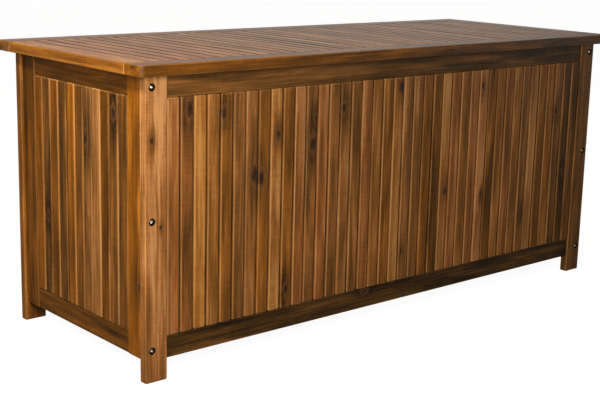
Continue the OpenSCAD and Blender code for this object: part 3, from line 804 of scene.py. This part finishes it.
def insert_nut(low, high):
    """A threaded insert: a tube with coarse ridges outside."""
    radius, length = (high.x - low.x) / 2, high.y - low.y
    bore_r, groove_r = BOLT_SHANK_R + 0.1 * MM, radius * 0.86
    profile = [(bore_r, 0)]
    for i in range(INSERT_RIDGES):
        profile += [(groove_r, length * (i + 0.2) / INSERT_RIDGES),
                    (radius, length * (i + 0.6) / INSERT_RIDGES)]
    profile += [(groove_r, length), (bore_r, length)]
    centre = (low + high) / 2
    return turned(profile, facing((0, 1, 0), (centre.x, low.y, centre.z)), SCREW_TURN)


solid([insert_nut(low, high) for low, high in islands("insert_nuts")], "insert_nuts_metal", "box",
      BRASS, ["insert_nuts"])

SCREW_TIP = 3 * MM
THREAD_PITCH = 2.4 * MM


def screw(low, high, direction):
    """A countersunk screw with a six-lobed recess, its head facing a direction."""
    axis = max(range(3), key=lambda k: abs(direction[k]))
    other = OTHER_AXES[axis][0]
    head_r, length = (high[other] - low[other]) / 2, high[axis] - low[axis]
    head = (low + high) / 2
    head[axis] = high[axis] if direction[axis] > 0 else low[axis]
    shank_r = head_r / 2
    profile = [(0, -length), (shank_r * 0.35, -length + SCREW_TIP * 0.3),
               (shank_r * 0.9, -length + SCREW_TIP)]
    for i in range(int((length - head_r - SCREW_TIP) / THREAD_PITCH)):
        crest = -length + SCREW_TIP + (i + 0.5) * THREAD_PITCH
        profile += [(shank_r * 0.72, crest - 0.4 * THREAD_PITCH), (shank_r, crest)]
    profile += [(shank_r * 0.8, -head_r + shank_r), (head_r, -0.25 * MM), (head_r - 0.15 * MM, 0),
                (star(head_r * 0.46), -0.03 * MM), (star(head_r * 0.42), -0.2 * MM),
                (star(head_r * 0.38), -0.9 * MM), (0, -1.2 * MM)]
    return turned(profile, facing(direction, head), SCREW_TURN)


def screws(node, direction_of, body, material):
    shapes = [screw(low, high, direction_of((low + high) / 2)) for low, high in islands(node)]
    solid(shapes, node + "_metal", body, material, [node])


def towards_middle(centre):
    return (0, -1, 0) if centre.y > 0 else (0, 1, 0)


screws("floor_screws", lambda c: (0, 0, 1), "box", ZINC)
screws("bearer_screws", towards_middle, "box", ZINC)
screws("lid_batten_screws", lambda c: (0, 0, -1), "lid", ZINC)
screws("hinge_body_screws", lambda c: (0, 1, 0), "box", BRASS)
screws("hinge_lid_screws", lambda c: (0, 0, -1), "lid", BRASS)


def dowels(node, axis, body, seed):
    """Turned dowels with chamfered ends."""
    rng = random.Random(seed)
    piece = Boards()
    direction = [1 if k == axis else 0 for k in range(3)]
    for low, high in islands(node):
        other = OTHER_AXES[axis][0]
        radius, length = (high[other] - low[other]) / 2, high[axis] - low[axis]
        base = (low + high) / 2
        base[axis] = low[axis]
        end_r, chamfer = radius * 0.8, radius * 0.25
        profile = [(0, 0), (end_r, 0), (radius, chamfer), (radius, length - chamfer), (end_r, length),
                   (0, length)]
        peg = turned(profile, facing(direction, base), SCREW_TURN)
        piece.add(peg, low, high, axis, RAIL_EASE, look(0.1, 0.0), rng)
    piece.finish(node + "_pegs", body, BARE, [node])


dowels("lid_dowels", Y, "lid", 81)
dowels("bearer_dowels", X, "box", 82)

# ------------------------------------------------------------------ hinges
KNUCKLES = 5
KNUCKLE_GAP = 0.4 * MM
LEAF_T = 2 * MM
LEAF_CORNER_R = 4 * MM
LEAF_EASE = 0.35 * MM
KNUCKLE_EASE = 0.3 * MM


def knuckle(x_low, x_high, centre, outer_r, inner_r):
    profile = [(inner_r, 0), (outer_r - KNUCKLE_EASE, 0), (outer_r, KNUCKLE_EASE),
               (outer_r, x_high - x_low - KNUCKLE_EASE), (outer_r - KNUCKLE_EASE, x_high - x_low),
               (inner_r, x_high - x_low)]
    return turned(profile, facing((1, 0, 0), (x_low, centre.y, centre.z)))


def hinge(place_name):
    pin_low, pin_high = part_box("hinge_pin_" + place_name)
    centre, pin_r = (pin_low + pin_high) / 2, (pin_high.y - pin_low.y) / 2
    body_low, body_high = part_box("hinge_body_leaf_" + place_name)
    lid_low, lid_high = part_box("hinge_lid_leaf_" + place_name)
    knuckle_r = centre.z - lid_low.z
    pitch = (pin_high.x - pin_low.x) / KNUCKLES
    clear = knuckle_r + 2 * KNUCKLE_GAP
    body_shapes, lid_shapes = [], []
    for i in range(KNUCKLES):
        x_low = pin_low.x + i * pitch + KNUCKLE_GAP / 2
        x_high = x_low + pitch - KNUCKLE_GAP
        if i % 2 == 0:
            body_shapes.append(knuckle(x_low, x_high, centre, knuckle_r, pin_r))
            strip_low = Vector((x_low, body_low.y, centre.z - clear - LEAF_T))
            strip_high = Vector((x_high, body_low.y + LEAF_T, centre.z))
            axis, shapes = Y, body_shapes
        else:
            lid_shapes.append(knuckle(x_low, x_high, centre, knuckle_r, pin_r + 0.05 * MM))
            strip_low = Vector((x_low, centre.y, lid_high.z - LEAF_T))
            strip_high = Vector((x_high, centre.y + clear + LEAF_T, lid_high.z))
            axis, shapes = Z, lid_shapes
        shapes.append(loft(rectangle(strip_low, strip_high, axis), [LEAF_EASE * 2] * 4,
                           strip_low[axis], strip_high[axis], axis, LEAF_EASE))
    plate_high = Vector((body_high.x, body_low.y + LEAF_T, centre.z - clear))
    radii = [LEAF_CORNER_R, LEAF_EASE * 2, LEAF_EASE * 2, LEAF_CORNER_R]   # outline axes are Z, then X
    body_shapes.append(loft(rectangle(body_low, plate_high, Y), radii, body_low.y, plate_high.y, Y,
                            LEAF_EASE))
    plate_low = Vector((lid_low.x, centre.y + clear, lid_high.z - LEAF_T))
    radii = [LEAF_EASE * 2, LEAF_EASE * 2, LEAF_CORNER_R, LEAF_CORNER_R]
    lid_shapes.append(loft(rectangle(plate_low, lid_high, Z), radii, plate_low.z, lid_high.z, Z,
                           LEAF_EASE))
    pin_length = pin_high.x - pin_low.x
    pin = turned([(0, 0), (pin_r * 0.7, 0.1 * MM), (pin_r, 0.5 * MM), (pin_r, pin_length - 0.5 * MM),
                  (pin_r * 0.7, pin_length - 0.1 * MM), (0, pin_length)],
                 facing((1, 0, 0), (pin_low.x, centre.y, centre.z)))
    for shapes, kind, body, slot, material in (
            (body_shapes, "hinge_body_leaf_", "box", "hinge_steel", BRONZE),
            (lid_shapes, "hinge_lid_leaf_", "lid", "hinge_steel", BRONZE),
            ([pin], "hinge_pin_", "box", "brass", BRASS)):
        node = kind + place_name
        solid(shapes, node + "_metal", body, material, [node])


for place_name in ("left", "middle", "right"):
    hinge(place_name)

# ------------------------------------------------------------------ floor, light and camera
FLOOR_SIZE = 40.0
FLOOR_GREY = 0.20
FLOOR_GLOW = 0.95              # the floor's own light, which makes it as white as the backdrop
AMBIENT = (0.20, 0.185, 0.16, 1.0)     # the studio's soft all-round light


def studio_floor():
    mesh = bpy.data.meshes.new("studio_floor")
    half = FLOOR_SIZE / 2
    corners = [(-half, -half, 0), (half, -half, 0), (half, half, 0), (-half, half, 0)]
    mesh.from_pydata(corners, [], [(0, 1, 2, 3)])
    n = Nodes("pale_floor")
    mesh.materials.append(n.surface({"Base Color": (FLOOR_GREY, FLOOR_GREY, FLOOR_GREY, 1.0),
                                     "Roughness": 0.9, "Specular IOR Level": 0.0,
                                     "Emission Color": (1.0, 1.0, 1.0, 1.0),
                                     "Emission Strength": FLOOR_GLOW}))
    floor = bpy.data.objects.new("studio_floor", mesh)
    floor.visible_diffuse = floor.visible_glossy = False      # it doesn't light the box from below
    bpy.context.scene.collection.objects.link(floor)


def soft_light(name, at, target, width, height, power, colour):
    data = bpy.data.lights.new(name, "AREA")
    data.shape, data.size, data.size_y, data.energy, data.color = "ELLIPSE", width, height, power, colour
    lamp = bpy.data.objects.new(name, data)
    lamp.location = at
    lamp.rotation_mode = "QUATERNION"
    lamp.rotation_quaternion = (Vector(target) - Vector(at)).to_track_quat("-Z", "Y")
    lamp.visible_camera = False
    bpy.context.scene.collection.objects.link(lamp)


def studio_world():
    """A white backdrop that lights the room only softly."""
    world = bpy.data.worlds.new("pale_studio")
    world.use_nodes = True
    tree = world.node_tree
    tree.nodes.clear()
    seen = tree.nodes.new("ShaderNodeLightPath")
    colour = tree.nodes.new("ShaderNodeMix")
    colour.data_type = "RGBA"
    colour.inputs[6].default_value = AMBIENT
    colour.inputs[7].default_value = (1.0, 1.0, 1.0, 1.0)
    background = tree.nodes.new("ShaderNodeBackground")
    output = tree.nodes.new("ShaderNodeOutputWorld")
    tree.links.new(seen.outputs["Is Camera Ray"], colour.inputs[0])
    tree.links.new(colour.outputs[2], background.inputs["Color"])
    tree.links.new(background.outputs[0], output.inputs["Surface"])
    bpy.context.scene.world = world


studio_floor()
studio_world()
soft_light("key_light", (-1.17, -1.0, 0.72), (-0.3, -0.1, 0.3), 0.4, 0.4, 16.3, (1.0, 0.97, 0.92))
soft_light("left_light", (-1.5, -0.4, 1.5), (-0.6, 0.0, 0.4), 0.25, 0.25, 23.5, (1.0, 0.90, 0.70))
soft_light("right_light", (2.4, -2.0, 0.6), (0.4, -0.2, 0.3), 0.9, 0.9, 5.5, (0.93, 1.0, 0.95))
soft_light("back_light", (1.75, 2.3, 0.95), (0.2, 0.0, 0.5), 3.2, 1.5, 12.0, (1.0, 0.97, 0.92))
bpy.context.scene.view_settings.view_transform = "Standard"

CAMERA_PLACE = (-1.699, -1.872, 0.786)
CAMERA_AZIMUTH = math.radians(40.91)   # from +Y towards +X
CAMERA_PITCH = math.radians(11.99)     # below the horizon
CAMERA_ROLL = math.radians(1.40)
CAMERA_LENS = 71.6
CAMERA_SENSOR = 36.0
CAMERA_SHIFT_Y = -0.0375


def studio_camera():
    data = bpy.data.cameras.new("camera")
    data.sensor_width, data.lens, data.shift_y = CAMERA_SENSOR, CAMERA_LENS, CAMERA_SHIFT_Y
    data.clip_start, data.clip_end = 0.05, 100.0
    flat = math.cos(CAMERA_PITCH)
    ahead = Vector((math.sin(CAMERA_AZIMUTH) * flat, math.cos(CAMERA_AZIMUTH) * flat,
                    -math.sin(CAMERA_PITCH)))
    right = Vector((math.cos(CAMERA_AZIMUTH), -math.sin(CAMERA_AZIMUTH), 0))
    up = right.cross(ahead)
    turned_right = right * math.cos(CAMERA_ROLL) + up * math.sin(CAMERA_ROLL)
    turned_up = up * math.cos(CAMERA_ROLL) - right * math.sin(CAMERA_ROLL)
    camera = bpy.data.objects.new("camera", data)
    axes = Matrix((turned_right, turned_up, -ahead)).transposed().to_4x4()
    camera.matrix_world = Matrix.Translation(CAMERA_PLACE) @ axes
    bpy.context.scene.collection.objects.link(camera)
    bpy.context.scene.camera = camera


studio_camera()
